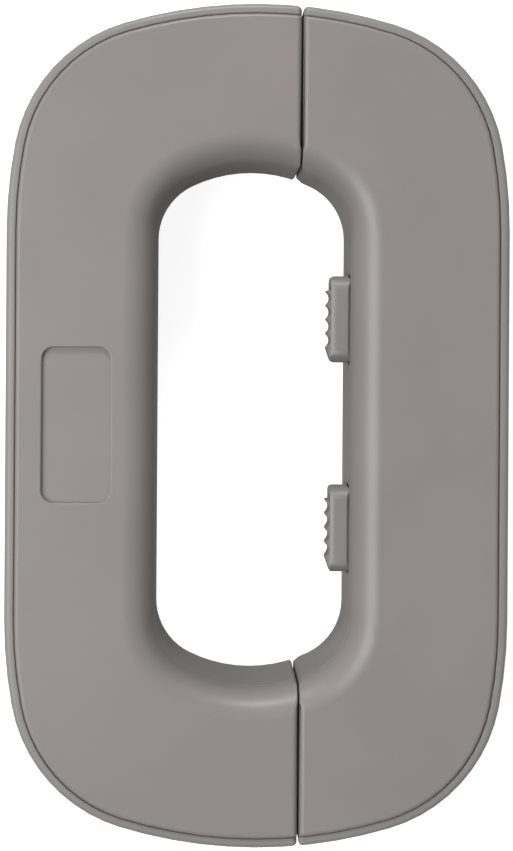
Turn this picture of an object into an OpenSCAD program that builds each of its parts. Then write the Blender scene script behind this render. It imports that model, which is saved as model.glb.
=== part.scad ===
// Cabinet safety lock: a ring in two halves that is stuck across the gap between two doors.
// The left half is the strike. The right half is the handle: it holds two spring bolts, and
// two ridged buttons inside the ring draw them back when the bar is squeezed.
// The lock lies on its pads: +Z points away from the doors, +Y runs up the doors, and the
// origin is under the middle of the ring. Lengths are in millimetres.

/* [Ring] */
// Width of the closed ring
ring_w = 71.6; // [68:0.2:76]
// Height of the closed ring
ring_h = 120; // [114:0.5:128]
// Depth of the housings, from their back face to their front face
ring_d = 20; // [18:0.5:24]
// Radius of the slow curve that leaves each straight side
side_r = 67.5; // [60:0.5:75]
// Angle that the slow side curve turns through, in degrees
side_turn = 10.6; // [8:0.1:13]
// Radius of the four corners
corner_r = 22.2; // [20:0.1:24]
// Radius of the crowned top and bottom
crown_r = 66.7; // [60:0.1:75]

/* [Opening] */
// Width of the left half's bar beside the hand opening
strike_bar_w = 21.1; // [20:0.1:24]
// Width of the right half's bar
latch_bar_w = 22.3; // [22:0.1:24]
// Height of the legs above and below the opening
leg_h = 22.45; // [22:0.05:25]
// Corner radius of the hand opening
opening_r = 9; // [8:0.1:12]
// Radius of the opening's crowned top and bottom
opening_crown_r = 20.5; // [18:0.1:30]
// Radius of the rounded lip round the front of the opening
lip_r = 4.3; // [3:0.1:5]

/* [Seam] */
// Distance of the seam from the right side of the opening
seam_inset = 7.4; // [7:0.1:9]
// Width of the gap between the two halves
seam_gap = 0.25; // [0.2:0.05:0.8]
// Bevel on the edges of the seam, at the front, the outer wall and the opening
seam_bevel = 0.5; // [0.2:0.05:0.6]

/* [Housing] */
// Thickness of the rim that shows round each cover
rim_t = 1.4; // [1.2:0.05:1.6]
// Radius on the outer edge of the rim
rim_round = 0.8; // [0.4:0.05:0.85]
// How far the rim lies below the front face
rim_drop = 0.6; // [0.3:0.05:1]
// Bevel on the inner edge of the rim, beside the cover
rim_ease = 0.1; // [0.1:0.05:0.35]
// Width of the ledge inside the rim that carries the cover
ledge_w = 0.8; // [0.6:0.05:1.2]
// Thickness of the wall round the opening
wall_t = 1.8; // [1.4:0.1:2.2]
// Thickness of the end walls at the seam
end_t = 1.8; // [1.4:0.1:2.2]
// Thickness of the floor
floor_t = 1.8; // [1.4:0.1:2.4]
// Thickness of the covers
cover_t = 2; // [1.6:0.1:2.4]
// Gap between a cover and the rim round it
cover_gap = 0.1; // [0.1:0.05:0.3]
// Radius on the outer edge of a cover
cover_round = 0.6; // [0.3:0.05:0.9]
// Bevel round the back edges of the bases
back_bevel = 0.5; // [0.2:0.05:0.8]

/* [Bare panel] */
// Width of the shallow panel sunk in the left cover
panel_w = 9.7; // [7:0.1:12]
// Height of the panel
panel_h = 22; // [16:0.1:30]
// Corner radius of the panel
panel_r = 1.7; // [0.8:0.1:3]
// Depth of the panel below the front face
panel_depth = 0.7; // [0.2:0.05:0.8]
// Distance of the panel's middle from the side of the ring
panel_inset = 10.1; // [9:0.1:11]

/* [Buttons] */
// Length of a button along the bar
button_l = 12.6; // [11:0.1:14]
// Height of a button, back to front
button_d = 5.4; // [5:0.1:5.6]
// How far a button's body stands out of the opening wall
button_out = 2.85; // [2.4:0.05:3]
// Radius on the front and back edges along a button's ends
button_r = 2; // [1:0.1:2.4]
// Radius on the edges of the face that the finger presses
button_round = 1.4; // [0.8:0.05:1.6]
// Radius on the corners of that face, seen from the front
button_corner = 0.6; // [0.3:0.05:0.9]
// How much a button's stem is cut back all round, where it enters the wall
button_neck = 0.4; // [0.2:0.05:0.5]
// How far behind the wall's face that stem begins at rest
neck_in = 0.1; // [0:0.05:0.3]
// How far the front of a button lies below the lip round the opening
button_drop = 1.5; // [1.2:0.1:2.4]
// Travel of a button from rest to fully pressed
button_travel = 2.6; // [2.5:0.05:2.8]
// Number of grip ridges on a button
ridge_n = 5; // [3:1:5]
// Spacing of the grip ridges
ridge_pitch = 2.05; // [1.8:0.05:2.2]
// Width of a ridge at its tip
ridge_tip = 0.2; // [0.15:0.05:0.4]
// How far the ridges stand out of a button's face
ridge_h = 0.55; // [0.3:0.05:0.8]
// Thickness of the flange that stops a button inside the wall
flange_t = 1.2; // [1:0.1:1.4]
// How far the flange reaches past each end of a button
flange_land = 0.8; // [0.6:0.1:1.2]
// Width of the tongue that plugs a button into its bolt
tongue_w = 7; // [5:0.1:9]
// Length of the tongue
tongue_l = 3.5; // [2.5:0.1:4.5]
// Thickness of the tongue
tongue_t = 1.6; // [1.2:0.1:2]

/* [Bolts] */
// Thickness of a bolt
bolt_t = 4; // [3.6:0.1:4.4]
// Width of the bolt's long plate
bolt_w = 7; // [6:0.1:7.6]
// Width of the bolt's nose and of the lug at its other guide post
nose_w = 7; // [6.6:0.1:7.2]
// Distance of each nose's middle from the end of the opening
nose_step = 9; // [8.8:0.1:9.6]
// How far a nose stands out of the right half at rest
nose_out = 2.4; // [1.8:0.05:2.5]
// Size of the bevel under the nose, which rides over the strike as the door shuts
nose_bevel = 2; // [1:0.1:2.4]
// Material left at each end of a guide slot
slot_land = 2; // [1.6:0.1:2.2]
// Diameter of the guide posts
post_d = 4; // [3.6:0.1:4.2]
// How far a foot reaches past its post all round
foot_land = 1.2; // [0.9:0.1:1.5]

/* [Springs] */
// Outer diameter of a bolt spring
spring_od = 3.8; // [3.4:0.1:4]
// Diameter of the spring wire
spring_wire = 0.45; // [0.35:0.05:0.5]
// Number of turns in a spring
spring_turns = 6; // [4:1:7]
// Thickness of the block that a spring pushes against
spring_seat_t = 1.6; // [1.4:0.05:2.4]
// Length of the pegs that centre a spring
peg_l = 1.8; // [1:0.1:2]

/* [Fasteners] */
// Diameter of the cover screws
screw_d = 2.2; // [2:0.1:2.4]
// Length of the cover screws under the head
screw_l = 8; // [6:0.5:9]
// Head diameter of the cover screws
screw_head_d = 4; // [3.6:0.1:4.4]
// Head height of the cover screws
screw_head_h = 1.4; // [1.1:0.1:1.6]
// Diameter of the screw bosses under a cover
boss_d = 5; // [4.6:0.1:5.2]
// Diameter of the retainer screws
pin_screw_d = 1.7; // [1.5:0.1:1.9]
// Length of the retainer screws under the head
pin_screw_l = 5; // [4:0.1:5.4]
// Head diameter of the retainer screws
pin_head_d = 3.2; // [2.8:0.1:3.6]
// Head height of the retainer screws
pin_head_h = 1.2; // [0.9:0.1:1.4]
// Thickness of the retainer that holds a bolt down
retainer_t = 1.5; // [1.2:0.1:2]
// Width of the retainer between its two eyes
retainer_w = 6; // [5:0.1:6.6]

/* [Pads] */
// Thickness of the adhesive foam pads
pad_t = 1; // [0.8:0.1:1.5]
// Width of every pad
pad_w = 10.5; // [9:0.1:11]
// How far each end of a bar's pad stops short of the end of the opening
pad_end = 5.55; // [3:0.05:12]
// Length of each pad behind the left half's legs
strike_leg_pad_l = 18; // [14:0.5:20]
// Length of each pad behind the right half's legs
latch_leg_pad_l = 13; // [10:0.5:14]
// Corner radius of the pads
pad_r = 1.5; // [0.5:0.1:3]
// Distance of the pads from the edges of the back
pad_inset = 2.2; // [1.6:0.1:2.6]

/* [Fits] */
// Running clearance round a bolt
bolt_gap = 0.2; // [0.15:0.05:0.25]
// Clearance round a button in its window
window_gap = 0.25; // [0.15:0.05:0.35]
// Clearance round a nose in the strike's window
strike_gap = 0.4; // [0.3:0.05:0.5]
// Clearance of a tongue in its pocket, and of a flange behind its wall
plug_gap = 0.06; // [0.04:0.01:0.1]
// Clearance of a screw in the hole that it bites in
pilot_gap = 0.03; // [0.02:0.01:0.05]
// Clearance of a screw in the hole that it passes through
screw_gap = 0.2; // [0.1:0.05:0.3]
// Clearance between a screw boss and the wall beside it
boss_gap = 0.75; // [0.5:0.05:0.9]
// Clearance at each end of a spring
spring_gap = 0.04; // [0.02:0.01:0.1]

/* [Hidden] */
$fn = 96;

// Colours of the moulded housings, the bolts, the steel and the foam
housing_colour = [0.56, 0.545, 0.535];
bolt_colour = [0.9, 0.9, 0.88];
steel_colour = [0.72, 0.72, 0.74];
foam_colour = [0.3, 0.3, 0.31];

// How far a cut runs past what it cuts
overrun = 1;
// Straight pieces in the side curve, the corner and the crown of a quarter of the ring
side_steps = 3;
corner_steps = 10;
crown_steps = 5;
// Straight pieces in the section of the lip, in an edge under the fingers, and in any other
lip_steps = 8;
fine_steps = 6;
round_steps = 3;
// Height of the raised seat under each cover screw
seat_h = 1.6;
// Ring of material round a boss on its seat
seat_land = 0.7;
// How far a cover screw's head is sunk below the back
head_sink = 0.3;
// Depth of the pilot hole in a boss
pilot_l = 9;
// Width, span and depth of the cross in a screw head
cross_w = 0.6;
cross_span = 2.4;
cross_depth = 0.7;
// Length and thickness of the ribs behind each window of the strike
keeper_l = 6;
keeper_t = 1.2;
// Ring of material round a spring on its seat
spring_land = 0.6;
// Width of the eye of a retainer round its post
eye_land = 2;
// Rings in one turn of a spring, and sides of its wire
coil_rings = 8;
coil_sides = 6;
// Where a button lies between the middle and a nose
button_share = 0.3273;
// Greatest corner radius of the opening, for half its width, and least crown past the corner
opening_r_share = 0.9;
opening_crown_share = 1.5;
// Where the bar screw, the guide lug and the second spring lie between a button and a nose
screw_share = 0.2;
lug_share = 0.445;
spring_share = 0.72;

// Heights of the back, the floor, the cover's seat, the rim, the lip and the front
z_back = pad_t;
z_floor = z_back + floor_t;
z_front = z_back + ring_d;
z_seat = z_front - cover_t;
z_rim = z_front - rim_drop;
z_lip = z_front - lip_r;

// The outline: each quarter has a slow side curve, a corner and a crown, all tangent
half_w = ring_w / 2;
half_h = ring_h / 2;
corner_x = half_w - side_r + (side_r - corner_r) * cos(side_turn);
crown_turn = acos(corner_x / (crown_r - corner_r));
crown_c = [0, half_h - crown_r];
corner_c = crown_c + polar(crown_r - corner_r, crown_turn);
side_c = corner_c - polar(side_r - corner_r, side_turn);
side_y = side_c[1];
arcs = [
    [side_c, side_r, 0, side_turn, side_steps],
    [corner_c, corner_r, side_turn, crown_turn, corner_steps],
    [crown_c, crown_r, crown_turn, 90, crown_steps]
];

// The opening, the two faces of the seam and the full thickness of the outer wall
open_left = half_w - strike_bar_w;
open_right = half_w - latch_bar_w;
open_x = (open_left + open_right) / 2;
open_y = half_h - leg_h;
open_mid = (open_right - open_left) / 2;
open_r = min(opening_r, open_x * opening_r_share);
open_crown_r = max(opening_crown_r, open_r + (open_x - open_r) * opening_crown_share);
open_turn = acos((open_x - open_r) / (open_crown_r - open_r));
open_crown_c = [0, open_y - open_crown_r];
open_corner_c = open_crown_c + polar(open_crown_r - open_r, open_turn);
seam_x = open_right - seam_inset;
strike_end = seam_x - seam_gap / 2;
latch_end = seam_x + seam_gap / 2;
shell_t = rim_t + ledge_w;
edge_u = rim_t + cover_gap;

// A button with its ridges, its flange and its tongue
valley_w = ridge_pitch - ridge_tip;
valley_r = (valley_w * valley_w / 4 + ridge_h * ridge_h) / (2 * ridge_h);
face_x = open_right - button_out;
neck_x = open_right + neck_in;
stem_l = button_l - 2 * button_neck;
flange_x = open_right + wall_t + plug_gap;
flange_back = flange_x + flange_t;

// A bolt with its plate, arm, lug, slots and posts
bolt_x = flange_back + plug_gap;
bolt_z = z_lip - button_drop - retainer_t - bolt_gap - bolt_t;
foot_h = bolt_z - bolt_gap - z_floor;
bolt_mid = bolt_z + bolt_t / 2;
button_z = bolt_mid + bolt_t / 2 - button_d / 2 + retainer_t + bolt_gap;
post_top = bolt_z + bolt_t + bolt_gap;
slot_w = post_d + 2 * bolt_gap;
slot_l = slot_w + button_travel;
arm_post_x = bolt_x - slot_land - slot_w / 2;
lug_post_x = bolt_x + slot_land + button_travel + slot_w / 2;
lug_x = lug_post_x + slot_w / 2 + slot_land;
nose_tip = latch_end - nose_out;
nose_y = open_y + nose_step;
button_y = button_share * nose_y;
span_y = nose_y - button_y;
lug_y = button_y + lug_share * span_y;
bolt_low = button_y - tongue_w / 2 - slot_land;
arm_low = nose_y - nose_w / 2;
arm_high = nose_y + nose_w / 2;

// The springs, from the bolt's plate to the seats on the outer wall
spring_x = bolt_x + bolt_w;
spring_far = half_w - shell_t - spring_seat_t;
spring_l = spring_far - spring_x - 2 * spring_gap;
peg_d = spring_od - 2 * spring_wire - 2 * bolt_gap;
spring_ys = [button_y, button_y + spring_share * span_y];

// Places of the cover screws and the guide posts on the upper side
bar_screw_x = half_w - shell_t - boss_gap - boss_d / 2;
screw_y = button_y + screw_share * span_y;
panel_x = half_w - panel_inset;
bar_pad_l = 2 * (open_y - pad_end);
strike_leg_x = strike_end - end_t - keeper_l - boss_gap - boss_d / 2;
latch_leg_x = latch_end + end_t + boss_gap + boss_d / 2;
strike_screw_places = [[strike_leg_x, leg_screw_y(strike_leg_x)], [-bar_screw_x, screw_y]];
latch_screw_places = [[latch_leg_x, leg_screw_y(latch_leg_x)], [bar_screw_x, screw_y]];
post_places = [[arm_post_x, nose_y], [lug_post_x, lug_y]];
seat_d = boss_d + 2 * seat_land;
seat_top = z_floor + seat_h;
head_top = z_back + head_sink + screw_head_h;
eye_d = post_d + 2 * eye_land;

function polar(r, angle) = [r * cos(angle), r * sin(angle)];

// Height of the crown and of the opening's top, and half the ring's width, at a place
function crown_y(x) = crown_c[1] + sqrt(crown_r * crown_r - x * x);
function opening_y(x) = let (
    reach = abs(x - open_mid),
    crowned = reach < open_crown_r * cos(open_turn),
    c = crowned ? open_crown_c : open_corner_c,
    r = crowned ? open_crown_r : open_r
) c[1] + sqrt(r * r - (reach - c[0]) * (reach - c[0]));
function arc_x(c, r, y) = c[0] + sqrt(r * r - (y - c[1]) * (y - c[1]));
function outline_x(y) = y < side_y ? half_w
    : y < side_y + side_r * sin(side_turn) ? arc_x(side_c, side_r, y)
    : arc_x(corner_c, corner_r, y);
function leg_screw_y(x) = crown_y(x) - shell_t - boss_gap - boss_d / 2;

// Points of a quarter of the outline, from its straight side to the middle of its crown
function quarter_outline(inset) = concat(
    [
        for (arc = arcs, i = [0 : arc[4] - 1])
            arc[0] + polar(arc[1] - inset, arc[2] + (arc[3] - arc[2]) * i / arc[4])
    ],
    [[0, half_h - inset]]
);

// As many points of a quarter of the opening, from its straight side to the middle of its top
function quarter_opening(outset) = concat(
    [for (i = [1 : side_steps]) [open_x + outset, open_corner_c[1] * i / (side_steps + 1)]],
    [
        for (i = [0 : corner_steps - 1])
            open_corner_c + polar(open_r + outset, open_turn * i / corner_steps)
    ],
    [
        for (i = [0 : crown_steps - 1])
            open_crown_c
                + polar(open_crown_r + outset, open_turn + (90 - open_turn) * i / crown_steps)
    ],
    [[0, open_y + outset]]
);

// The closed ring that a quarter and its three mirror images make, about a place at a height
function flipped(points, sx, sy) = [for (p = points) [p[0] * sx, p[1] * sy]];
function reversed(points) = [for (i = [len(points) - 1 : -1 : 0]) points[i]];
function but_last(points) = [for (i = [0 : len(points) - 2]) points[i]];
function ring_at(quarter, x, z) = [
    for (
        p = concat(
            quarter,
            reversed(but_last(flipped(quarter, -1, 1))),
            flipped(quarter, -1, -1),
            reversed(but_last(flipped(quarter, 1, -1)))
        )
    )
        [x + p[0], p[1], z]
];

// Rings round the outline and round the opening, for a list of [distance into the wall, height]
function outline_rings(section) = [for (s = section) ring_at(quarter_outline(s[0]), 0, s[1])];
function opening_rings(section) = [
    for (s = section) ring_at(quarter_opening(s[0]), open_mid, s[1])
];

// Points along an arc about a centre
function arc_points(c, r, from, to, steps) = [
    for (i = [0 : steps]) c + polar(r, from + (to - from) * i / steps)
];

// Corner points of a rectangle with round corners about its middle
function round_rectangle(w, h, r, steps) = [
    for (turn = [0 : 3])
        let (
            sx = turn == 0 || turn == 3 ? 1 : -1,
            sy = turn < 2 ? 1 : -1
        )
        each arc_points(
            [sx * (w / 2 - r), sy * (h / 2 - r)], r, 90 * turn, 90 * turn + 90, steps
        )
];

// The solid that a closed row of rings bounds
module ring_solid(rings) {
    n = len(rings);
    m = len(rings[0]);
    faces = [
        for (k = [0 : n - 1], j = [0 : m - 1])
            let (
                a = k * m + j,
                b = k * m + (j + 1) % m,
                c = (k + 1) % n * m + (j + 1) % m,
                d = (k + 1) % n * m + j
            )
            each [[a, c, b], [a, d, c]]
    ];
    polyhedron([for (ring = rings) each ring], faces);
}

// The whole ring of the bases: outer wall with its rim and ledge, floor, and opening wall
module base_ring() {
    outer = concat(
        [[back_bevel, z_back], [0, z_back + back_bevel]],
        arc_points([rim_round, z_rim - rim_round], rim_round, 180, 90, round_steps),
        [
            [rim_t - rim_ease, z_rim],
            [rim_t, z_rim - rim_ease],
            [rim_t, z_seat],
            [shell_t, z_seat],
            [shell_t, z_floor]
        ]
    );
    inner = [
        [wall_t, z_floor],
        [wall_t, z_lip],
        [0, z_lip],
        [0, z_back + back_bevel],
        [back_bevel, z_back]
    ];
    ring_solid(concat(outline_rings(outer), opening_rings(inner)));
}

// The whole ring of the covers: rounded outer edge, flat front, and a lip of even thickness
module cover_ring() {
    outer = concat(
        [[edge_u, z_seat]],
        arc_points([edge_u + cover_round, z_front - cover_round], cover_round, 180, 90, round_steps)
    );
    inner = concat(
        arc_points([lip_r, z_lip], lip_r, 90, 180, lip_steps),
        arc_points([lip_r, z_lip], lip_r - cover_t, 180, 90, round_steps)
    );
    ring_solid(concat(outline_rings(outer), opening_rings(inner)));
}

// The space inside the walls, the floor and the cover, run half into the walls and the floor
module cavity_ring() {
    outer = [[rim_t + ledge_w / 2, z_floor - floor_t / 2], [rim_t + ledge_w / 2, z_seat]];
    inner = concat(
        arc_points([lip_r, z_lip], lip_r - cover_t - cover_gap, 90, 180, round_steps),
        [[wall_t / 2, z_lip], [wall_t / 2, z_floor - floor_t / 2]]
    );
    ring_solid(concat(outline_rings(outer), opening_rings(inner)));
}

// Keeps what lies on the left of the seam, or on its right, with bevelled edges up to a height
module strike_side(top) {
    intersection() {
        children();
        seam_front(top, strike_end, -1);
        seam_plan(strike_end, -1);
    }
}

module latch_side(top) {
    intersection() {
        children();
        seam_front(top, latch_end, 1);
        seam_plan(latch_end, 1);
    }
}

// The space on one side of a seam face, with the face's front edge bevelled
module seam_front(top, face_x, way) {
    translate([face_x, ring_h, 0])
        rotate([90, 0, 0])
            linear_extrude(2 * ring_h)
                polygon([
                    [0, -overrun],
                    [0, top - seam_bevel],
                    [way * (seam_bevel + overrun), top + overrun],
                    [way * 2 * ring_w, top + overrun],
                    [way * 2 * ring_w, -overrun]
                ]);
}

// The same space with the face's edges bevelled at the outer wall and at the opening
module seam_plan(face_x, way) {
    back_x = face_x + way * (seam_bevel + overrun);
    low = opening_y(face_x);
    high = crown_y(face_x);
    upper = [
        [back_x, low - overrun],
        [face_x, low + seam_bevel],
        [face_x, high - seam_bevel],
        [back_x, high + overrun]
    ];
    linear_extrude(z_front + overrun)
        polygon(concat(
            reversed(flipped(upper, 1, -1)),
            upper,
            [[way * 2 * ring_w, high + overrun], [way * 2 * ring_w, -high - overrun]]
        ));
}

// Copies a piece of the upper side to the lower side
module both_ways() {
    for (my = [0, 1])
        mirror([0, my, 0])
            children();
}

// The walls that close the two legs at the seam, under the cover and its lip
module end_walls(x) {
    intersection() {
        cavity_ring();
        translate([x, -ring_h, 0])
            cube([end_t, 2 * ring_h, z_front]);
    }
}

// Raised seats for the cover screws on a floor, and the holes through them
module screw_seats(places) {
    for (place = places)
        translate([place[0], place[1], z_back])
            cylinder(d = seat_d, h = seat_top - z_back);
}

module screw_holes(places) {
    for (place = places)
        translate([place[0], place[1], 0]) {
            cylinder(d = screw_d + 2 * screw_gap, h = seat_top + overrun);
            cylinder(d = screw_head_d + 2 * screw_gap, h = head_top);
        }
}

// Bosses under a cover, and the pilot holes in them
module screw_bosses(places) {
    for (place = places)
        translate([place[0], place[1], seat_top])
            cylinder(d = boss_d, h = z_seat + cover_t / 2 - seat_top);
}

module pilot_holes(places) {
    for (place = places)
        translate([place[0], place[1], seat_top - overrun])
            cylinder(d = screw_d + 2 * pilot_gap, h = pilot_l + overrun);
}

// A screw that points up, with the underside of its head at the origin
module screw(d, l, head_d, head_h) {
    cylinder(d = d, h = l);
    difference() {
        translate([0, 0, -head_h])
            cylinder(d = head_d, h = head_h);
        for (turn = [0, 90])
            rotate(turn)
                translate([-cross_span / 2, -cross_w / 2, -head_h - overrun])
                    cube([cross_span, cross_w, cross_depth + overrun]);
    }
}

// The space that a nose needs in an end wall, with a clearance all round
module nose_window(x, gap) {
    translate([x - overrun, nose_y - nose_w / 2 - gap, bolt_z - gap])
        cube([end_t + 2 * overrun, nose_w + 2 * gap, bolt_t + 2 * gap]);
}

// Ribs that back the edges of a strike window
module keeper_ribs() {
    x = strike_end - end_t - keeper_l;
    reach = nose_w / 2 + strike_gap;
    for (y = [nose_y + reach, nose_y - reach - keeper_t])
        translate([x, y, z_floor - floor_t / 2])
            cube([keeper_l + end_t / 2, keeper_t, floor_t / 2 + foot_h + bolt_t + 2 * keeper_t]);
}

module strike_base() {
    color(housing_colour)
        difference() {
            union() {
                strike_side(z_rim)
                    base_ring();
                end_walls(strike_end - end_t);
                both_ways() {
                    keeper_ribs();
                    screw_seats(strike_screw_places);
                }
            }
            both_ways() {
                nose_window(strike_end - end_t, strike_gap);
                screw_holes(strike_screw_places);
            }
        }
}

module strike_cover() {
    color(housing_colour)
        difference() {
            union() {
                strike_side(z_front)
                    cover_ring();
                both_ways()
                    screw_bosses(strike_screw_places);
            }
            both_ways()
                pilot_holes(strike_screw_places);
            translate([-panel_x, 0, z_front - panel_depth])
                linear_extrude(panel_depth + overrun)
                    polygon(round_rectangle(panel_w, panel_h, panel_r, fine_steps));
        }
}

// Blocks and pegs on the outer wall that the springs push against
module spring_seats() {
    size = spring_od + 2 * spring_land;
    for (y = spring_ys) {
        far = outline_x(y + size / 2) - rim_t;
        translate([spring_far, y - size / 2, z_floor - floor_t / 2])
            cube([far - spring_far, size, bolt_mid + size / 2 - z_floor + floor_t / 2]);
        translate([spring_far - peg_l, y, bolt_mid])
            rotate([0, 90, 0])
                cylinder(d = peg_d, h = peg_l + spring_seat_t / 2);
    }
}

// Posts that guide the bolts, on feet that carry them, drilled for the retainer screws
module guide_posts() {
    for (place = post_places)
        translate([place[0], place[1], z_floor - floor_t / 2]) {
            cylinder(d = post_d, h = post_top - z_floor + floor_t / 2);
            cylinder(d = post_d + 2 * foot_land, h = foot_h + floor_t / 2);
        }
}

module post_holes() {
    for (place = post_places)
        translate([place[0], place[1], z_floor - floor_t / 2])
            cylinder(d = pin_screw_d + 2 * pilot_gap, h = post_top + overrun);
}

// A bar along X with the section of a button, grown by a gap
module button_bar(x, length, gap) {
    translate([x, button_y, button_z])
        rotate([90, 0, 90])
            linear_extrude(length)
                polygon(round_rectangle(
                    button_l + 2 * gap,
                    button_d + 2 * gap,
                    button_r + gap,
                    fine_steps
                ));
}

module latch_base() {
    color(housing_colour)
        difference() {
            union() {
                latch_side(z_rim)
                    base_ring();
                end_walls(latch_end);
                both_ways() {
                    spring_seats();
                    guide_posts();
                    screw_seats(latch_screw_places);
                }
            }
            both_ways() {
                nose_window(latch_end, bolt_gap);
                button_bar(open_right - overrun, wall_t + 2 * overrun, window_gap);
                post_holes();
                screw_holes(latch_screw_places);
            }
        }
}

module latch_cover() {
    color(housing_colour)
        difference() {
            union() {
                latch_side(z_front)
                    cover_ring();
                both_ways()
                    screw_bosses(latch_screw_places);
            }
            both_ways()
                pilot_holes(latch_screw_places);
        }
}

module cover_screws(places) {
    color(steel_colour)
        both_ways()
            for (place = places)
                translate([place[0], place[1], head_top])
                    screw(screw_d, screw_l, screw_head_d, screw_head_h);
}

module strike_screws() {
    cover_screws(strike_screw_places);
}

module latch_screws() {
    cover_screws(latch_screw_places);
}

// A pad of adhesive foam about a middle point
module pad(x, y, w, h) {
    color(foam_colour)
        translate([x, y, 0])
            linear_extrude(pad_t)
                polygon(round_rectangle(w, h, pad_r, round_steps));
}

module strike_bar_pad() {
    pad(-open_left - pad_inset - pad_w / 2, 0, pad_w, bar_pad_l);
}

module latch_bar_pad() {
    pad(open_right + pad_inset + pad_w / 2, 0, pad_w, bar_pad_l);
}

module strike_leg_pads() {
    both_ways()
        pad(
            strike_end - pad_inset - strike_leg_pad_l / 2,
            open_y + pad_inset + pad_w / 2,
            strike_leg_pad_l,
            pad_w
        );
}

module latch_leg_pads() {
    both_ways()
        pad(
            latch_end + pad_inset + latch_leg_pad_l / 2,
            open_y + pad_inset + pad_w / 2,
            latch_leg_pad_l,
            pad_w
        );
}

// The plan of a bolt: nose and arm along the leg, long plate along the bar, lug for the guide
module bolt_plan() {
    difference() {
        polygon([
            [nose_tip, arm_low],
            [bolt_x, arm_low],
            [bolt_x, bolt_low],
            [spring_x, bolt_low],
            [spring_x, lug_y - nose_w / 2],
            [lug_x, lug_y - nose_w / 2],
            [lug_x, lug_y + nose_w / 2],
            [spring_x, lug_y + nose_w / 2],
            [spring_x, arm_low],
            [bolt_x, arm_high],
            [nose_tip, arm_high]
        ]);
        for (place = post_places)
            translate([place[0] + slot_w / 2 - slot_l, place[1] - slot_w / 2])
                square([slot_l, slot_w]);
    }
}

// The bevel under the nose, as a wedge to cut away
module nose_wedge() {
    translate([0, arm_high + overrun, 0])
        rotate([90, 0, 0])
            linear_extrude(nose_w + 2 * overrun)
                polygon([
                    [nose_tip - overrun, bolt_z - overrun],
                    [nose_tip + nose_bevel + overrun, bolt_z - overrun],
                    [nose_tip - overrun, bolt_z + nose_bevel + overrun]
                ]);
}

// The pocket that a button's tongue plugs into
module tongue_pocket() {
    width = tongue_w + 2 * plug_gap;
    height = tongue_t + 2 * plug_gap;
    translate([bolt_x - overrun, button_y - width / 2, bolt_mid - height / 2])
        cube([tongue_l + plug_gap + overrun, width, height]);
}

module bolt() {
    color(bolt_colour) {
        difference() {
            translate([0, 0, bolt_z])
                linear_extrude(bolt_t)
                    bolt_plan();
            nose_wedge();
            tongue_pocket();
        }
        for (y = spring_ys)
            translate([spring_x - peg_l / 2, y, bolt_mid])
                rotate([0, 90, 0])
                    cylinder(d = peg_d, h = peg_l * 3 / 2);
    }
}

module upper_bolt() {
    bolt();
}

module lower_bolt() {
    mirror([0, 1, 0])
        bolt();
}

// The plan of a button: body, ridges with scalloped valleys, and a slope below the last ridge
module button_plan() {
    tip_x = face_x - ridge_h;
    ridges_y = (ridge_n - 1) * ridge_pitch / 2 + ridge_tip / 2;
    corner = [face_x + button_corner, button_l / 2 - button_corner];
    upper = arc_points(corner, button_corner, 90, 180, fine_steps);
    difference() {
        polygon(concat(
            upper,
            [[face_x, ridges_y], [tip_x, ridges_y], [tip_x, -ridges_y]],
            reversed(flipped(upper, 1, -1)),
            [
                [neck_x - button_neck, -button_l / 2],
                [neck_x, -stem_l / 2],
                [flange_x + flange_t / 2, -stem_l / 2],
                [flange_x + flange_t / 2, stem_l / 2],
                [neck_x, stem_l / 2],
                [neck_x - button_neck, button_l / 2]
            ]
        ));
        for (i = [1 : ridge_n - 1])
            translate([face_x - valley_r, (i - ridge_n / 2) * ridge_pitch])
                circle(valley_r);
    }
}

// The side view of a button, with its pressed face rounded off at the front and the back
module button_side() {
    corner = [face_x - ridge_h + button_round, button_d / 2 - button_round];
    front = concat(
        arc_points(corner, button_round, 180, 90, fine_steps),
        [
            [neck_x - button_neck, button_d / 2],
            [neck_x, button_d / 2 - button_neck],
            [flange_back, button_d / 2 - button_neck]
        ]
    );
    polygon(concat(front, reversed(flipped(front, 1, -1))));
}

module button() {
    color(housing_colour) {
        intersection() {
            button_bar(face_x - overrun, flange_back - face_x + overrun, 0);
            translate([0, button_y, button_z - button_d / 2])
                linear_extrude(button_d)
                    button_plan();
            translate([0, button_y + button_l / 2, button_z])
                rotate([90, 0, 0])
                    linear_extrude(button_l)
                        button_side();
        }
        translate([0, button_y, 0]) {
            translate([flange_x, -button_l / 2 - flange_land, button_z - button_d / 2])
                cube([flange_t, button_l + 2 * flange_land, button_d]);
            translate([flange_back, -tongue_w / 2, bolt_mid - tongue_t / 2])
                cube([tongue_l, tongue_w, tongue_t]);
        }
    }
}

module upper_button() {
    button();
}

module lower_button() {
    translate([0, -2 * button_y, 0])
        button();
}

// A coil of round wire from one end to the other along X
function coil_point(i, side) = let (
    turn = 360 * i / coil_rings,
    share = i / (coil_rings * spring_turns),
    angle = 360 * side / coil_sides,
    reach = (spring_od - spring_wire) / 2 + spring_wire / 2 * cos(angle)
) [
    spring_wire / 2 + (spring_l - spring_wire) * share + spring_wire / 2 * sin(angle),
    reach * cos(turn),
    reach * sin(turn)
];

module coil() {
    last = coil_rings * spring_turns;
    points = [for (i = [0 : last], side = [0 : coil_sides - 1]) coil_point(i, side)];
    walls = [
        for (i = [0 : last - 1], side = [0 : coil_sides - 1])
            let (
                a = i * coil_sides + side,
                b = i * coil_sides + (side + 1) % coil_sides
            )
            each [[a, b, b + coil_sides], [a, b + coil_sides, a + coil_sides]]
    ];
    caps = [
        for (side = [1 : coil_sides - 2])
            each [
                [0, side + 1, side],
                [last * coil_sides, last * coil_sides + side, last * coil_sides + side + 1]
            ]
    ];
    polyhedron(points, concat(walls, caps));
}

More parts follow.
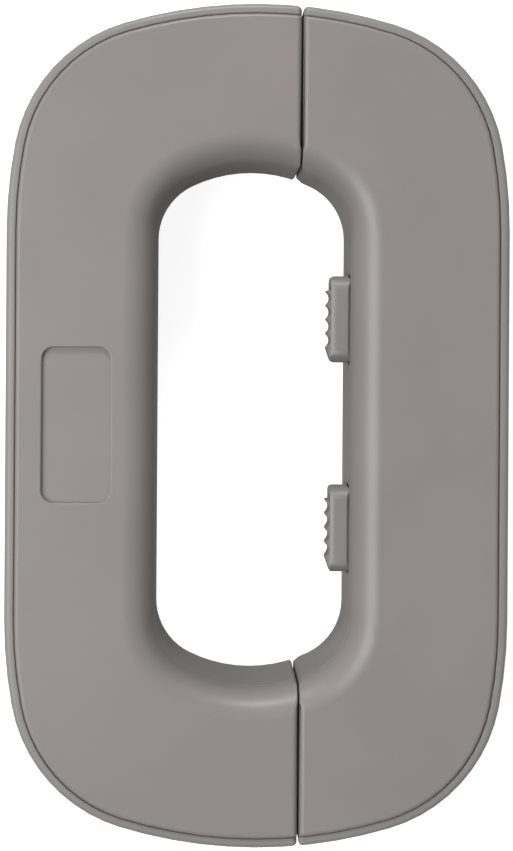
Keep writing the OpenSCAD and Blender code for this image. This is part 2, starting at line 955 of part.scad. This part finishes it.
// Least gap between one turn of a spring and the next
coil_gap = min([
    for (a = [0 : coil_sides - 1], b = [0 : coil_sides - 1])
        norm(coil_point(coil_rings, a) - coil_point(0, b))
]);
echo(coil_gap = coil_gap);

module bolt_spring(y) {
    color(steel_colour)
        translate([spring_x + spring_gap, y, bolt_mid])
            coil();
}

module upper_button_spring() {
    bolt_spring(spring_ys[0]);
}

module upper_arm_spring() {
    bolt_spring(spring_ys[1]);
}

module lower_button_spring() {
    bolt_spring(-spring_ys[0]);
}

module lower_arm_spring() {
    bolt_spring(-spring_ys[1]);
}

// A strip with an eye over each of the two guide posts
module retainer() {
    reach = post_places[1] - post_places[0];
    color(bolt_colour)
        translate([0, 0, post_top])
            linear_extrude(retainer_t)
                difference() {
                    union() {
                        for (place = post_places)
                            translate(place)
                                circle(d = eye_d);
                        translate(post_places[0])
                            rotate(atan2(reach[1], reach[0]))
                                translate([0, -retainer_w / 2])
                                    square([norm(reach), retainer_w]);
                    }
                    for (place = post_places)
                        translate(place)
                            circle(d = pin_screw_d + 2 * screw_gap);
                }
}

module upper_retainer() {
    retainer();
}

module lower_retainer() {
    mirror([0, 1, 0])
        retainer();
}

module retainer_screws() {
    color(steel_colour)
        both_ways()
            for (place = post_places)
                translate([place[0], place[1], post_top + retainer_t])
                    rotate([180, 0, 0])
                        screw(pin_screw_d, pin_screw_l, pin_head_d, pin_head_h);
}

strike_base();
strike_cover();
strike_screws();
strike_bar_pad();
strike_leg_pads();
latch_base();
latch_cover();
latch_screws();
latch_bar_pad();
latch_leg_pads();
upper_bolt();
lower_bolt();
upper_button();
lower_button();
upper_button_spring();
upper_arm_spring();
lower_button_spring();
lower_arm_spring();
upper_retainer();
lower_retainer();
retainer_screws();
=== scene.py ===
# A ring-shaped cabinet safety lock: moulded halves, spring bolts, ridged buttons, foam pads.
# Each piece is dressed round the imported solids, in metres, in the order of assembly.
import math

import bmesh
import bpy
from mathutils import Matrix, Vector


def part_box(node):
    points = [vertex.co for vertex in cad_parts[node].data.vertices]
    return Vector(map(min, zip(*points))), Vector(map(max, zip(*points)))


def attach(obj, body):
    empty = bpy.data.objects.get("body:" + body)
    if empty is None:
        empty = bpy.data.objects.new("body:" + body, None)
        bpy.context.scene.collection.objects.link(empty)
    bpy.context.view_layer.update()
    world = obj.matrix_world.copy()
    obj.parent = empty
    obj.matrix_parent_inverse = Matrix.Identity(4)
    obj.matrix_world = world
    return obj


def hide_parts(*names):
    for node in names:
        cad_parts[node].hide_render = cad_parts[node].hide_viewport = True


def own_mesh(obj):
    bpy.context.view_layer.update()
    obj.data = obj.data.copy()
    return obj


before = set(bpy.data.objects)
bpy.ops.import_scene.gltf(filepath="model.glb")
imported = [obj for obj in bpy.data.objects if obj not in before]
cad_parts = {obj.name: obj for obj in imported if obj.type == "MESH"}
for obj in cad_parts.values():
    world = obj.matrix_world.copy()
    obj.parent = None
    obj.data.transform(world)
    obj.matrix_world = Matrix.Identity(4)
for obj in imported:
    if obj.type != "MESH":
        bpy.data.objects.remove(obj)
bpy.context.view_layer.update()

# Camera
# The lock is seen square on from the front. The lens stands over the upper left of the ring,
# so a slight turn and a small shift bring the ring back to the middle of the picture.
MM = 0.001
PICTURE_W = 513
PICTURE_H = 851
SENSOR = 36
FOCAL_PX = 1747
AXIS_PX = (222.3, 333.9)
CAMERA_AT = Vector((-7.0, 13.0, 268)) * MM
CAMERA_TURN = (0, math.radians(-0.45), math.radians(0.37))
NEAR_CLIP = 10 * MM

scene = bpy.context.scene
camera_data = bpy.data.cameras.new("front_camera")
camera_data.sensor_width = SENSOR
camera_data.lens = FOCAL_PX * SENSOR / PICTURE_H
camera_data.shift_x = (PICTURE_W / 2 - AXIS_PX[0]) / PICTURE_H
camera_data.shift_y = (AXIS_PX[1] - PICTURE_H / 2) / PICTURE_H
camera_data.clip_start = NEAR_CLIP
camera = bpy.data.objects.new("front_camera", camera_data)
camera.location = CAMERA_AT
camera.rotation_euler = CAMERA_TURN
scene.collection.objects.link(camera)
scene.camera = camera

# Studio
# A pale floor under the pads and a white room, a large soft lamp over the left side and a
# smaller one over the top. Little light comes from below, so the opening's walls stay dark.
FLOOR_HALF = 3.0
FLOOR_Z = -0.1 * MM
FLOOR_BOUNCE = 0.28
FLOOR_PALE = 0.7
FLOOR_GLOW = 0.85
KEY_FROM = Vector((-0.48, -0.04, 0.72))
KEY_SIZE = 0.62
KEY_POWER = 4.85
TOP_FROM = Vector((-0.06, 0.72, 0.5))
TOP_SIZE = 0.3
TOP_POWER = 3.4
ROOM_LIGHT = 0.225
NODE_STEP = 220

scene.view_settings.view_transform = "Standard"


def placed(tree, kind, feeds=None):
    made = tree.nodes.new(kind)
    made.location.x = NODE_STEP * len(tree.nodes)
    for socket, term in (feeds or {}).items():
        if isinstance(term, bpy.types.NodeSocket):
            tree.links.new(term, made.inputs[socket])
        else:
            made.inputs[socket].default_value = term
    return made


def figured(tree, operation, *terms):
    made = placed(tree, "ShaderNodeMath", dict(enumerate(terms)))
    made.operation = operation
    return made.outputs[0]


def seen_apart(tree, light, sight, out):
    rays = placed(tree, "ShaderNodeLightPath").outputs
    mirrored = figured(tree, "MAXIMUM", rays["Is Camera Ray"], rays["Is Glossy Ray"])
    looked_at = figured(tree, "MAXIMUM", mirrored, rays["Is Transmission Ray"])
    choice = placed(tree, "ShaderNodeMixShader", {0: looked_at, 1: light.outputs[0], 2: sight.outputs[0]})
    placed(tree, out, {"Surface": choice.outputs[0]})


def bare_tree(holder):
    holder.use_nodes = True
    holder.node_tree.nodes.clear()
    return holder.node_tree


def grey(tone):
    return (tone, tone, tone, 1)


room = bpy.data.worlds.new("white_room")
scene.world = room
room_tree = bare_tree(room)
room_glow = placed(room_tree, "ShaderNodeBackground", {"Color": grey(1), "Strength": ROOM_LIGHT})
room_seen = placed(room_tree, "ShaderNodeBackground", {"Color": grey(1)})
seen_apart(room_tree, room_glow, room_seen, "ShaderNodeOutputWorld")

floor_paint = bpy.data.materials.new("pale_floor")
floor_tree = bare_tree(floor_paint)
floor_dim = placed(floor_tree, "ShaderNodeBsdfDiffuse", {"Color": grey(FLOOR_BOUNCE)})
floor_pale = placed(floor_tree, "ShaderNodeBsdfDiffuse", {"Color": grey(FLOOR_PALE)})
floor_glow = placed(floor_tree, "ShaderNodeEmission", {"Strength": FLOOR_GLOW})
floor_seen = placed(floor_tree, "ShaderNodeAddShader", {0: floor_pale.outputs[0], 1: floor_glow.outputs[0]})
seen_apart(floor_tree, floor_dim, floor_seen, "ShaderNodeOutputMaterial")

floor_mesh = bpy.data.meshes.new("floor")
floor_corners = [
    (-FLOOR_HALF, -FLOOR_HALF, FLOOR_Z),
    (FLOOR_HALF, -FLOOR_HALF, FLOOR_Z),
    (FLOOR_HALF, FLOOR_HALF, FLOOR_Z),
    (-FLOOR_HALF, FLOOR_HALF, FLOOR_Z),
]
floor_mesh.from_pydata(floor_corners, [], [(0, 1, 2, 3)])
floor_mesh.materials.append(floor_paint)
floor = bpy.data.objects.new("floor", floor_mesh)
scene.collection.objects.link(floor)


def soft_lamp(name, place, size, power):
    lamp = bpy.data.lights.new(name, "AREA")
    lamp.shape = "DISK"
    lamp.size = size
    lamp.energy = power
    holder = bpy.data.objects.new(name, lamp)
    holder.location = place
    holder.rotation_euler = (-place).to_track_quat("-Z", "Y").to_euler()
    scene.collection.objects.link(holder)


soft_lamp("left_lamp", KEY_FROM, KEY_SIZE, KEY_POWER)
soft_lamp("top_lamp", TOP_FROM, TOP_SIZE, TOP_POWER)

# Strike base
# The left half's tray, injection moulded in grey ABS with a fine satin grain. Its rim shows
# as a thin band round the cover, and the mould leaves every edge slightly round.
TRAY_GREY = (0.262, 0.249, 0.242)
ABS_ROUGH = 0.31
ABS_GRAIN = 0.1
WALL_ROUGH = 0.85
WALL_FACING = 0.15
FACE_FACING = 0.85
SHEEN_SPREAD = 0.12
PLASTIC_SPECULAR = 0.45
CLOUD_SCALE = 60
CLOUD_DETAIL = 3
CLOUD_SHADES = (0.96, 1.04)
CLOUD_SPAN = (0.3, 0.7)
GRAIN_SCALE = 4800
GRAIN_DETAIL = 2
GRAIN_DEPTH = 0.02 * MM
EDGE_TURN = math.radians(32)
FLAT_TURN = math.radians(0.4)
EDGE_STEPS = 3
EDGE_PROFILE = 0.5
WELD = 0.01 * MM
BASE_EDGE = 0.14 * MM


def new_paint(name):
    paint = bpy.data.materials.new(name)
    paint.use_nodes = True
    tree = paint.node_tree
    return paint, tree, tree.nodes["Principled BSDF"].inputs


def mottled(tree, where, scale, detail):
    feeds = {"Vector": where, "Scale": scale, "Detail": detail}
    return placed(tree, "ShaderNodeTexNoise", feeds).outputs["Fac"]


def tinted(tree, field, colour, shades, span=(0, 1)):
    ramp = placed(tree, "ShaderNodeValToRGB", {"Fac": field})
    for stop, shade, place in zip(ramp.color_ramp.elements, shades, span):
        stop.position = place
        stop.color = (colour[0] * shade, colour[1] * shade, colour[2] * shade, 1)
    return ramp.outputs["Color"]


def moulded_plastic(name, colour, rough, grain):
    paint, tree, skin = new_paint(name)
    skin["Specular IOR Level"].default_value = PLASTIC_SPECULAR
    where = placed(tree, "ShaderNodeTexCoord").outputs
    cloud = mottled(tree, where["Object"], CLOUD_SCALE, CLOUD_DETAIL)
    spark = mottled(tree, where["Object"], GRAIN_SCALE, GRAIN_DETAIL)
    facing = placed(tree, "ShaderNodeSeparateXYZ", {0: where["Normal"]}).outputs["Z"]
    polish = placed(tree, "ShaderNodeMapRange", {
        "Value": figured(tree, "ABSOLUTE", facing),
        "From Min": WALL_FACING,
        "From Max": FACE_FACING,
        "To Min": WALL_ROUGH,
        "To Max": rough,
    })
    sheen = figured(tree, "MULTIPLY_ADD", spark, SHEEN_SPREAD, polish.outputs["Result"])
    bump = placed(tree, "ShaderNodeBump", {"Strength": grain, "Distance": GRAIN_DEPTH, "Height": spark})
    tree.links.new(tinted(tree, cloud, colour, CLOUD_SHADES, CLOUD_SPAN), skin["Base Color"])
    tree.links.new(sheen, skin["Roughness"])
    tree.links.new(bump.outputs["Normal"], skin["Normal"])
    return paint


def moulding(part, edge, paint, body):
    form = bmesh.new()
    form.from_mesh(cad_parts[part].data)
    bmesh.ops.remove_doubles(form, verts=form.verts, dist=WELD)
    bmesh.ops.dissolve_limit(form, angle_limit=FLAT_TURN, verts=form.verts, edges=form.edges)
    outer = [e for e in form.edges if e.is_manifold and e.is_convex]
    sharp = [e for e in outer if e.calc_face_angle() > EDGE_TURN]
    bmesh.ops.bevel(
        form,
        geom=sharp,
        offset=edge,
        segments=EDGE_STEPS,
        profile=EDGE_PROFILE,
        affect="EDGES",
        clamp_overlap=False,
    )
    for face in form.faces:
        face.smooth = True
    mesh = bpy.data.meshes.new(part + "_moulding")
    form.to_mesh(mesh)
    form.free()
    for spare in ("custom_normal", "sharp_edge", "sharp_face"):
        if spare in mesh.attributes:
            mesh.attributes.remove(mesh.attributes[spare])
    mesh.set_sharp_from_angle(angle=EDGE_TURN)
    mesh.materials.clear()
    mesh.materials.append(paint)
    piece = bpy.data.objects.new(part + "_moulding", mesh)
    scene.collection.objects.link(piece)
    even = piece.modifiers.new("even_normals", "WEIGHTED_NORMAL")
    even.keep_sharp = True
    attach(piece, body)
    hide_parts(part)


tray_plastic = moulded_plastic("grey_abs_tray", TRAY_GREY, ABS_ROUGH, ABS_GRAIN)
moulding("strike_base", BASE_EDGE, tray_plastic, "strike_half")

# Latch base
# The right half's tray, of the same ABS, with the guide posts and spring seats inside and
# the two windows that the buttons pass through.
moulding("latch_base", BASE_EDGE, tray_plastic, "latch_half")

# Bolt springs
# Four compression springs of round wire with closed ends, between each bolt and the outer
# wall.
WIRE_D = 0.45 * MM
SPRING_OD = 3.8 * MM
SPRING_TURNS = 6
TURN_STEPS = 24
WIRE_SIDES = 10
STEEL_GREY = (0.6, 0.6, 0.615)
BLOOM_SCALE = 900
BLOOM_DETAIL = 4
BLOOM_SHADES = (0.82, 1.12)
ZINC_ROUGH = (0.22, 0.42)


def plated_steel(name, colour):
    paint, tree, skin = new_paint(name)
    skin["Metallic"].default_value = 1
    where = placed(tree, "ShaderNodeTexCoord").outputs
    bloom = mottled(tree, where["Object"], BLOOM_SCALE, BLOOM_DETAIL)
    sheen = placed(tree, "ShaderNodeMapRange", {
        "Value": bloom,
        "To Min": ZINC_ROUGH[0],
        "To Max": ZINC_ROUGH[1],
    })
    tree.links.new(tinted(tree, bloom, colour, BLOOM_SHADES), skin["Base Color"])
    tree.links.new(sheen.outputs["Result"], skin["Roughness"])
    return paint


def maker_tree(name, inputs):
    tree = bpy.data.node_groups.new(name, "GeometryNodeTree")
    tree.is_modifier = True
    for title, kind in inputs.items():
        tree.interface.new_socket(title, in_out="INPUT", socket_type="NodeSocket" + kind)
    tree.interface.new_socket("Geometry", in_out="OUTPUT", socket_type="NodeSocketGeometry")
    return tree, placed(tree, "NodeGroupInput").outputs


def finished(tree, shape, paint):
    single = placed(tree, "GeometryNodeRealizeInstances", {"Geometry": shape})
    painted = placed(tree, "GeometryNodeSetMaterial", {
        "Geometry": single.outputs["Geometry"],
        "Material": paint,
    })
    placed(tree, "NodeGroupOutput", {"Geometry": painted.outputs["Geometry"]})


def ranged(tree, value, start, end, reach):
    feeds = {"Value": value, "From Min": start, "From Max": end, "To Max": reach}
    return placed(tree, "ShaderNodeMapRange", feeds).outputs["Result"]


def winding_tree():
    tree, given = maker_tree("winding", {
        "Geometry": "Geometry",
        "Length": "Float",
        "Diameter": "Float",
        "Wire": "Float",
        "End Climb": "Float",
        "Turns": "Int",
        "Finish": "Material",
    })
    index = placed(tree, "GeometryNodeInputIndex").outputs[0]
    turn = figured(tree, "DIVIDE", index, TURN_STEPS)
    angle = figured(tree, "MULTIPLY", turn, math.tau)
    before_last = figured(tree, "SUBTRACT", given["Turns"], 1)
    ends = figured(tree, "MULTIPLY_ADD", given["End Climb"], 2, given["Wire"])
    active = figured(tree, "SUBTRACT", given["Length"], ends)
    first = ranged(tree, turn, 0, 1, given["End Climb"])
    middle = ranged(tree, turn, 1, before_last, active)
    last = ranged(tree, turn, before_last, given["Turns"], given["End Climb"])
    climb = figured(tree, "ADD", figured(tree, "ADD", first, middle), last)
    along = figured(tree, "MULTIPLY_ADD", given["Wire"], 0.5, climb)
    reach = figured(tree, "MULTIPLY", figured(tree, "SUBTRACT", given["Diameter"], given["Wire"]), 0.5)
    point = placed(tree, "ShaderNodeCombineXYZ", {
        "X": along,
        "Y": figured(tree, "MULTIPLY", reach, figured(tree, "COSINE", angle)),
        "Z": figured(tree, "MULTIPLY", reach, figured(tree, "SINE", angle)),
    })
    count = figured(tree, "MULTIPLY_ADD", given["Turns"], TURN_STEPS, 1)
    line = placed(tree, "GeometryNodeMeshLine", {"Count": count})
    bent = placed(tree, "GeometryNodeSetPosition", {
        "Geometry": line.outputs["Mesh"],
        "Position": point.outputs[0],
    })
    path = placed(tree, "GeometryNodeMeshToCurve", {"Mesh": bent.outputs["Geometry"]})
    section = placed(tree, "GeometryNodeCurvePrimitiveCircle", {
        "Resolution": WIRE_SIDES,
        "Radius": figured(tree, "MULTIPLY", given["Wire"], 0.5),
    })
    drawn = placed(tree, "GeometryNodeCurveToMesh", {
        "Curve": path.outputs["Curve"],
        "Profile Curve": section.outputs["Curve"],
        "Fill Caps": True,
    })
    smooth = placed(tree, "GeometryNodeSetShadeSmooth", {"Geometry": drawn.outputs["Mesh"]})
    finished(tree, smooth.outputs["Geometry"], given["Finish"])
    return tree


def grown(name, start, tree, sizes):
    piece = bpy.data.objects.new(name, start)
    scene.collection.objects.link(piece)
    maker = piece.modifiers.new("maker", "NODES")
    maker.node_group = tree
    for socket in tree.interface.items_tree:
        if socket.in_out == "INPUT" and socket.name in sizes:
            maker[socket.identifier] = sizes[socket.name]
    ready = piece.evaluated_get(bpy.context.evaluated_depsgraph_get())
    piece.data = bpy.data.meshes.new_from_object(ready)
    piece.modifiers.remove(maker)
    return piece


zinc = plated_steel("zinc_plate", STEEL_GREY)
winding = winding_tree()
for side in ("upper", "lower"):
    for spring in (side + "_button_spring", side + "_arm_spring"):
        low, high = [Vector(corner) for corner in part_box(spring)]
        middle = (low + high) / 2
        length = high.x - low.x
        coil_sizes = {
            "Length": length,
            "Diameter": SPRING_OD,
            "Wire": WIRE_D,
            "End Climb": WIRE_D,
            "Turns": SPRING_TURNS,
            "Finish": zinc,
        }
        coil = grown(spring + "_coil", bpy.data.meshes.new(spring), winding, coil_sizes)
        coil.data.transform(Matrix.Translation((low.x, middle.y, middle.z)))
        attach(coil, "latch_half")
        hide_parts(spring)
        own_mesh(coil)

# Bolts
# Two L-shaped spring bolts of natural acetal, which slide on the guide posts. Their noses
# cross the seam into the strike.
ACETAL_WHITE = (0.72, 0.71, 0.67)
ACETAL_ROUGH = 0.38
ACETAL_GRAIN = 0.06
BOLT_EDGE = 0.18 * MM

acetal = moulded_plastic("natural_acetal", ACETAL_WHITE, ACETAL_ROUGH, ACETAL_GRAIN)
moulding("upper_bolt", BOLT_EDGE, acetal, "upper_latch")
moulding("lower_bolt", BOLT_EDGE, acetal, "lower_latch")

# Buttons
# Two push buttons of the housing's ABS, with five grip ridges each, in a darker grey than the cover
# as painted shade for the recess they sit in. A tongue plugs each one into its bolt through a window in the
# opening's wall.
# This grey is the cover's ABS made darker: painted shade for the shadow the buttons sit in below the lip.
BUTTON_SHADE_GREY = (0.232, 0.222, 0.216)
BUTTON_EDGE = 0.08 * MM

shaded_button_plastic = moulded_plastic("grey_abs_button_shaded", BUTTON_SHADE_GREY, ABS_ROUGH, ABS_GRAIN)
moulding("upper_button", BUTTON_EDGE, shaded_button_plastic, "upper_latch")
moulding("lower_button", BUTTON_EDGE, shaded_button_plastic, "lower_latch")

# Retainers
# Two moulded acetal strips that lie over the bolts and keep them down on their posts. Each
# has an eye at both ends, for the screws in the posts.
moulding("upper_retainer", BOLT_EDGE, acetal, "latch_half")
moulding("lower_retainer", BOLT_EDGE, acetal, "latch_half")

# Retainer screws
# Four small zinc-plated pan-head screws with a cross recess and a rolled thread, one in the
# top of each guide post.
PIN_D = 1.7 * MM
PIN_L = 5.0 * MM
PIN_HEAD_D = 3.2 * MM
PIN_HEAD_H = 1.2 * MM
PIN_SEED = 5
LUG_POST_Y = 29.1706 * MM
THREAD_SHARE = 0.22
THREAD_PITCH_SHARE = 0.42
HEAD_EASE = 0.28 * MM
HEAD_ROLL = 2 * HEAD_EASE
HEAD_BREAK = HEAD_EASE / 3
HEAD_STEPS = 4
CROSS_SPAN = 2.3 * MM
CROSS_W = 0.6 * MM
CROSS_DEPTH = 0.7 * MM
CROSS_TAPER = 0.6
CROSS_ARMS = 4
SCREW_SIDES = 40
SCREW_WELD = WELD / 10


def walled(form, below, above):
    sides = []
    for i in range(len(below)):
        j = (i + 1) % len(below)
        sides.append(form.faces.new((below[i], below[j], above[j], above[i])))
    return sides


def cross_cutter(top, bottom):
    form = bmesh.new()
    rows = []
    for z, share in ((top, 1.0), (bottom, CROSS_TAPER)):
        far = CROSS_SPAN / 2 * share
        near = CROSS_W / 2 * share
        row = []
        for arm in range(CROSS_ARMS):
            spin = Matrix.Rotation(math.tau * arm / CROSS_ARMS, 2)
            for corner in ((far, -near), (far, near), (near, near)):
                spun = spin @ Vector(corner)
                row.append(form.verts.new((spun.x, spun.y, z)))
        form.faces.new(row)
        rows.append(row)
    walled(form, *rows)
    bmesh.ops.recalc_face_normals(form, faces=form.faces)
    mesh = bpy.data.meshes.new("cross_cutter")
    form.to_mesh(mesh)
    form.free()
    cutter = bpy.data.objects.new("cross_cutter", mesh)
    scene.collection.objects.link(cutter)
    return cutter


def screw_blank(diameter, length, head_d, head_h):
    core = diameter * (0.5 - THREAD_SHARE / 2)
    rim = head_d / 2
    profile = [(0, -head_h), (rim - HEAD_ROLL, -head_h)]
    for step in range(1, HEAD_STEPS + 1):
        turn = math.pi / 2 * step / HEAD_STEPS
        profile.append((
            rim - HEAD_ROLL + HEAD_ROLL * math.sin(turn),
            -head_h + HEAD_EASE - HEAD_EASE * math.cos(turn),
        ))
    profile += [(rim, -HEAD_BREAK), (rim - HEAD_BREAK, 0), (core, 0)]
    profile += [(core, length - diameter), (0, length)]
    form = bmesh.new()
    line = [form.verts.new((r, 0, z)) for r, z in profile]
    edges = [form.edges.new(pair) for pair in zip(line, line[1:])]
    bmesh.ops.spin(
        form,
        geom=line + edges,
        axis=(0, 0, 1),
        cent=(0, 0, 0),
        angle=math.tau,
        steps=SCREW_SIDES,
    )
    bmesh.ops.remove_doubles(form, verts=form.verts, dist=SCREW_WELD)
    bmesh.ops.recalc_face_normals(form, faces=form.faces)
    mesh = bpy.data.meshes.new("screw_blank")
    form.to_mesh(mesh)
    form.free()
    blank = bpy.data.objects.new("screw_blank", mesh)
    scene.collection.objects.link(blank)
    cutter = cross_cutter(-head_h - HEAD_EASE, -head_h + CROSS_DEPTH)
    cut = blank.modifiers.new("cross", "BOOLEAN")
    cut.object = cutter
    cut.operation = "DIFFERENCE"
    ready = blank.evaluated_get(bpy.context.evaluated_depsgraph_get())
    cut_mesh = bpy.data.meshes.new_from_object(ready)
    bpy.data.objects.remove(blank)
    bpy.data.objects.remove(cutter)
    return cut_mesh


def screw_pattern(diameter, length, head_d, head_h):
    blank = screw_blank(diameter, length, head_d, head_h)
    wire = diameter * THREAD_SHARE
    turns = round((length - diameter) / (diameter * THREAD_PITCH_SHARE))
    thread_sizes = {
        "Length": length - diameter,
        "Diameter": diameter,
        "Wire": wire,
        "End Climb": (length - diameter - wire) / turns,
        "Turns": turns,
        "Finish": zinc,
    }
    thread = grown("thread", bpy.data.meshes.new("thread"), winding, thread_sizes)
    form = bmesh.new()
    form.from_mesh(thread.data)
    bmesh.ops.transform(form, matrix=Matrix.Rotation(-math.pi / 2, 4, "Y"), verts=form.verts)
    form.from_mesh(blank)
    mesh = bpy.data.meshes.new("screw_pattern")
    form.to_mesh(mesh)
    form.free()
    bpy.data.objects.remove(thread)
    mesh.set_sharp_from_angle(angle=EDGE_TURN)
    pattern = bpy.data.objects.new("screw_pattern", mesh)
    scene.collection.objects.link(pattern)
    return pattern


def screw_set_tree():
    tree, given = maker_tree("screw_set", {
        "Geometry": "Geometry",
        "Screw": "Object",
        "Seed": "Int",
        "Finish": "Material",
    })
    pattern = placed(tree, "GeometryNodeObjectInfo", {"Object": given["Screw"]})
    stop = placed(tree, "FunctionNodeRandomValue", {"Seed": given["Seed"]})
    stop.data_type = "FLOAT"
    least, most = [s for s in stop.inputs if s.enabled][:2]
    least.default_value = 0
    most.default_value = math.tau
    angle = [s for s in stop.outputs if s.enabled][0]
    driven = placed(tree, "ShaderNodeCombineXYZ", {"Z": angle})
    turned = placed(tree, "FunctionNodeEulerToRotation", {0: driven.outputs[0]})
    seated = placed(tree, "GeometryNodeInstanceOnPoints", {
        "Points": given["Geometry"],
        "Instance": pattern.outputs["Geometry"],
        "Rotation": turned.outputs[0],
    })
    finished(tree, seated.outputs["Instances"], given["Finish"])
    return tree


def screw_set(part, pattern, upper_places, seed, body):
    lower_places = [Vector((p.x, -p.y, p.z)) for p in upper_places]
    start = bpy.data.meshes.new(part)
    start.from_pydata(upper_places + lower_places, [], [])
    sizes = {"Screw": pattern, "Seed": seed, "Finish": zinc}
    piece = grown(part + "_set", start, screw_sets, sizes)
    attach(piece, body)
    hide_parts(part)


screw_sets = screw_set_tree()
pin_pattern = screw_pattern(PIN_D, PIN_L, PIN_HEAD_D, PIN_HEAD_H)
pin_pattern.data.transform(Matrix.Rotation(math.pi, 4, "X"))
low, high = [Vector(corner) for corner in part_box("retainer_screws")]
pin_z = high.z - PIN_HEAD_H
pin_places = [
    Vector((low.x + PIN_HEAD_D / 2, high.y - PIN_HEAD_D / 2, pin_z)),
    Vector((high.x - PIN_HEAD_D / 2, LUG_POST_Y, pin_z)),
]
screw_set("retainer_screws", pin_pattern, pin_places, PIN_SEED, "latch_half")
bpy.data.objects.remove(pin_pattern)

# Covers
# The two front shells, of the same ABS: a flat face that rolls over into the opening on a
# wide lip. The left one has a shallow bare panel sunk in it.
COVER_GREY = (0.263, 0.242, 0.232)
COVER_EDGE = 0.24 * MM

cover_plastic = moulded_plastic("grey_abs_cover", COVER_GREY, ABS_ROUGH, ABS_GRAIN)
moulding("strike_cover", COVER_EDGE, cover_plastic, "strike_half")
moulding("latch_cover", COVER_EDGE, cover_plastic, "latch_half")

# Cover screws
# Four zinc-plated screws in each half, driven from behind through the base into bosses
# under the cover, with their heads sunk below the back.
SCREW_D = 2.2 * MM
SCREW_L = 8.0 * MM
SCREW_HEAD_D = 4.0 * MM
SCREW_HEAD_H = 1.4 * MM
BAR_SCREW_Y = 21.4987 * MM
STRIKE_SEED = 11
LATCH_SEED = 23

cover_pattern = screw_pattern(SCREW_D, SCREW_L, SCREW_HEAD_D, SCREW_HEAD_H)
for half, seed in (("strike", STRIKE_SEED), ("latch", LATCH_SEED)):
    low, high = [Vector(corner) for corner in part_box(half + "_screws")]
    left = low.x + SCREW_HEAD_D / 2
    right = high.x - SCREW_HEAD_D / 2
    leg_y = high.y - SCREW_HEAD_D / 2
    seat_z = low.z + SCREW_HEAD_H
    leg_x, bar_x = (right, left) if half == "strike" else (left, right)
    places = [Vector((leg_x, leg_y, seat_z)), Vector((bar_x, BAR_SCREW_Y, seat_z))]
    screw_set(half + "_screws", cover_pattern, places, seed, half + "_half")
bpy.data.objects.remove(cover_pattern)

# Foam pads
# Die-cut pads of dark acrylic foam tape, pressed on to the back of each base. The cut sides
# bulge a little and the foam shows its fine cells.
PAD_R = 1.5 * MM
PAD_TUCK = 0.14 * MM
PAD_BULGE_POWER = 4
PAD_CORNER_STEPS = 10
PAD_LAYERS = 8
LEG_PAD_W = 10.5 * MM
FOAM_GREY = (0.05, 0.05, 0.052)
FOAM_SPECULAR = 0.3
FOAM_ROUGH = (0.95, 0.6)
CELL_SCALE = 3600
CELL_STRENGTH = 0.6
CELL_DEPTH = 0.08 * MM
FIBRE_SCALE = 700
FIBRE_DETAIL = 4
FIBRE_SHADES = (0.7, 1.35)


def acrylic_foam(name, colour):
    paint, tree, skin = new_paint(name)
    skin["Specular IOR Level"].default_value = FOAM_SPECULAR
    where = placed(tree, "ShaderNodeTexCoord").outputs
    cells = placed(tree, "ShaderNodeTexVoronoi", {"Vector": where["Object"], "Scale": CELL_SCALE})
    depth = cells.outputs["Distance"]
    fibre = mottled(tree, where["Object"], FIBRE_SCALE, FIBRE_DETAIL)
    sheen = placed(tree, "ShaderNodeMapRange", {
        "Value": depth,
        "To Min": FOAM_ROUGH[0],
        "To Max": FOAM_ROUGH[1],
    })
    bump = placed(tree, "ShaderNodeBump", {
        "Strength": CELL_STRENGTH,
        "Distance": CELL_DEPTH,
        "Height": depth,
    })
    tree.links.new(tinted(tree, fibre, colour, FIBRE_SHADES), skin["Base Color"])
    tree.links.new(sheen.outputs["Result"], skin["Roughness"])
    tree.links.new(bump.outputs["Normal"], skin["Normal"])
    return paint


def pad_plate(form, low, high):
    rows = []
    for layer in range(PAD_LAYERS + 1):
        height = layer / PAD_LAYERS
        radius = PAD_R - PAD_TUCK * (2 * height - 1) ** PAD_BULGE_POWER
        row = []
        for turn, (x, y) in enumerate(((1, 1), (-1, 1), (-1, -1), (1, -1))):
            centre_x = high.x - PAD_R if x > 0 else low.x + PAD_R
            centre_y = high.y - PAD_R if y > 0 else low.y + PAD_R
            for step in range(PAD_CORNER_STEPS + 1):
                angle = math.pi / 2 * (turn + step / PAD_CORNER_STEPS)
                row.append(form.verts.new((
                    centre_x + radius * math.cos(angle),
                    centre_y + radius * math.sin(angle),
                    low.z + (high.z - low.z) * height,
                )))
        rows.append(row)
    form.faces.new(reversed(rows[0]))
    form.faces.new(rows[-1])
    for below, above in zip(rows, rows[1:]):
        for side in walled(form, below, above):
            side.smooth = True


def foam_pads(part, plates, body):
    form = bmesh.new()
    for low, high in plates:
        pad_plate(form, low, high)
    mesh = bpy.data.meshes.new(part + "_foam")
    form.to_mesh(mesh)
    form.free()
    mesh.materials.append(foam)
    piece = bpy.data.objects.new(part + "_foam", mesh)
    scene.collection.objects.link(piece)
    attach(piece, body)
    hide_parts(part)


foam = acrylic_foam("dark_foam", FOAM_GREY)
for half in ("strike", "latch"):
    low, high = [Vector(corner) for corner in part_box(half + "_bar_pad")]
    foam_pads(half + "_bar_pad", [(low, high)], half + "_half")
    low, high = [Vector(corner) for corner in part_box(half + "_leg_pads")]
    upper_low = Vector((low.x, high.y - LEG_PAD_W, low.z))
    lower_high = Vector((high.x, low.y + LEG_PAD_W, high.z))
    foam_pads(half + "_leg_pads", [(upper_low, high), (low, lower_high)], half + "_half")
